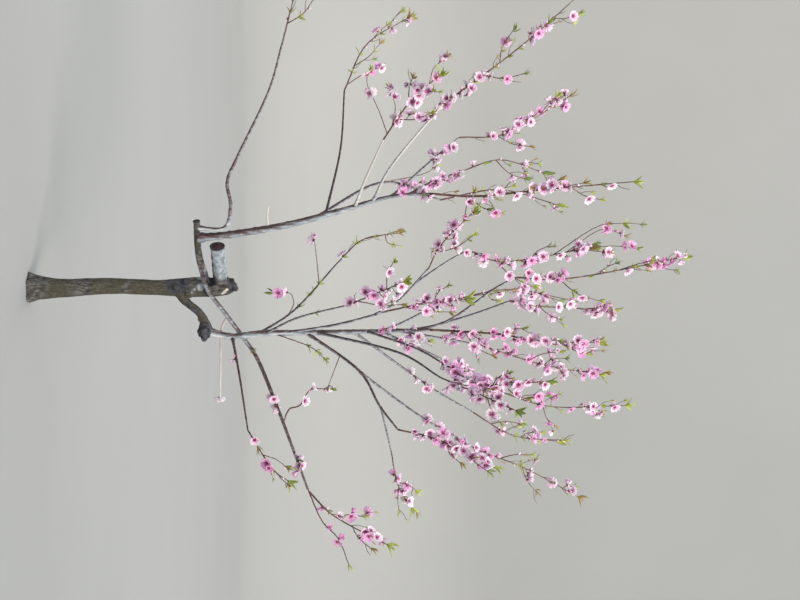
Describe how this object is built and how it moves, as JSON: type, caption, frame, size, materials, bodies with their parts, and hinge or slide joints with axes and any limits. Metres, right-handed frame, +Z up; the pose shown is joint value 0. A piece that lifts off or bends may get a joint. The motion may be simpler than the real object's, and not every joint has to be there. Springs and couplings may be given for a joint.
{
  "type": "flowering almond tree",
  "caption": "Young flowering almond tree in spring: a short trunk, a sawn stub, upright leaders and slender boughs ending in sprays of pink blossom and young leaves.",
  "frame": {"origin": "at ground level, on the flat cut under the trunk", "axes": "+Z straight up, +X to the tree's right and +Y to its back, seen from the side that the sawn stub points to"},
  "size_m": [2.0936, 1.7221, 2.4311],
  "materials": {
    "old_bark": "rough",
    "young_bark": "satin",
    "spray": "matte"
  },
  "bodies": {
    "root": {"bough_left_1": "young_bark", "bough_left_2": "young_bark", "bough_left_3": "young_bark", "bough_left_4": "young_bark", "bough_left_5": "young_bark", "bough_left_6": "young_bark", "bough_left_7": "young_bark", "bough_middle_1": "young_bark", "bough_middle_2": "young_bark", "bough_middle_3": "young_bark", "bough_middle_4": "young_bark", "bough_middle_5": "young_bark", "bough_middle_6": "young_bark", "bough_middle_7": "young_bark", "bough_middle_8": "young_bark", "bough_right_1": "young_bark", "bough_right_10": "young_bark", "bough_right_2": "young_bark", "bough_right_3": "young_bark", "bough_right_4": "young_bark", "bough_right_5": "young_bark", "bough_right_6": "young_bark", "bough_right_7": "young_bark", "bough_right_8": "young_bark", "bough_right_9": "young_bark", "cut_stub": "old_bark", "left_arm": "old_bark", "left_leader": "young_bark", "right_arm": "old_bark", "right_leader": "young_bark", "spray_left_1": "spray", "spray_left_2": "spray", "spray_left_3": "spray", "spray_left_4": "spray", "spray_left_5": "spray", "spray_left_6": "spray", "spray_left_7": "spray", "spray_left_leader": "spray", "spray_middle_1": "spray", "spray_middle_2": "spray", "spray_middle_3": "spray", "spray_middle_4": "spray", "spray_middle_5": "spray", "spray_middle_6": "spray", "spray_middle_7": "spray", "spray_middle_8": "spray", "spray_right_1": "spray", "spray_right_10": "spray", "spray_right_2": "spray", "spray_right_3": "spray", "spray_right_4": "spray", "spray_right_5": "spray", "spray_right_6": "spray", "spray_right_7": "spray", "spray_right_8": "spray", "spray_right_9": "spray", "spray_right_leader": "spray", "trunk": "old_bark"}
  },
  "joints": []
}
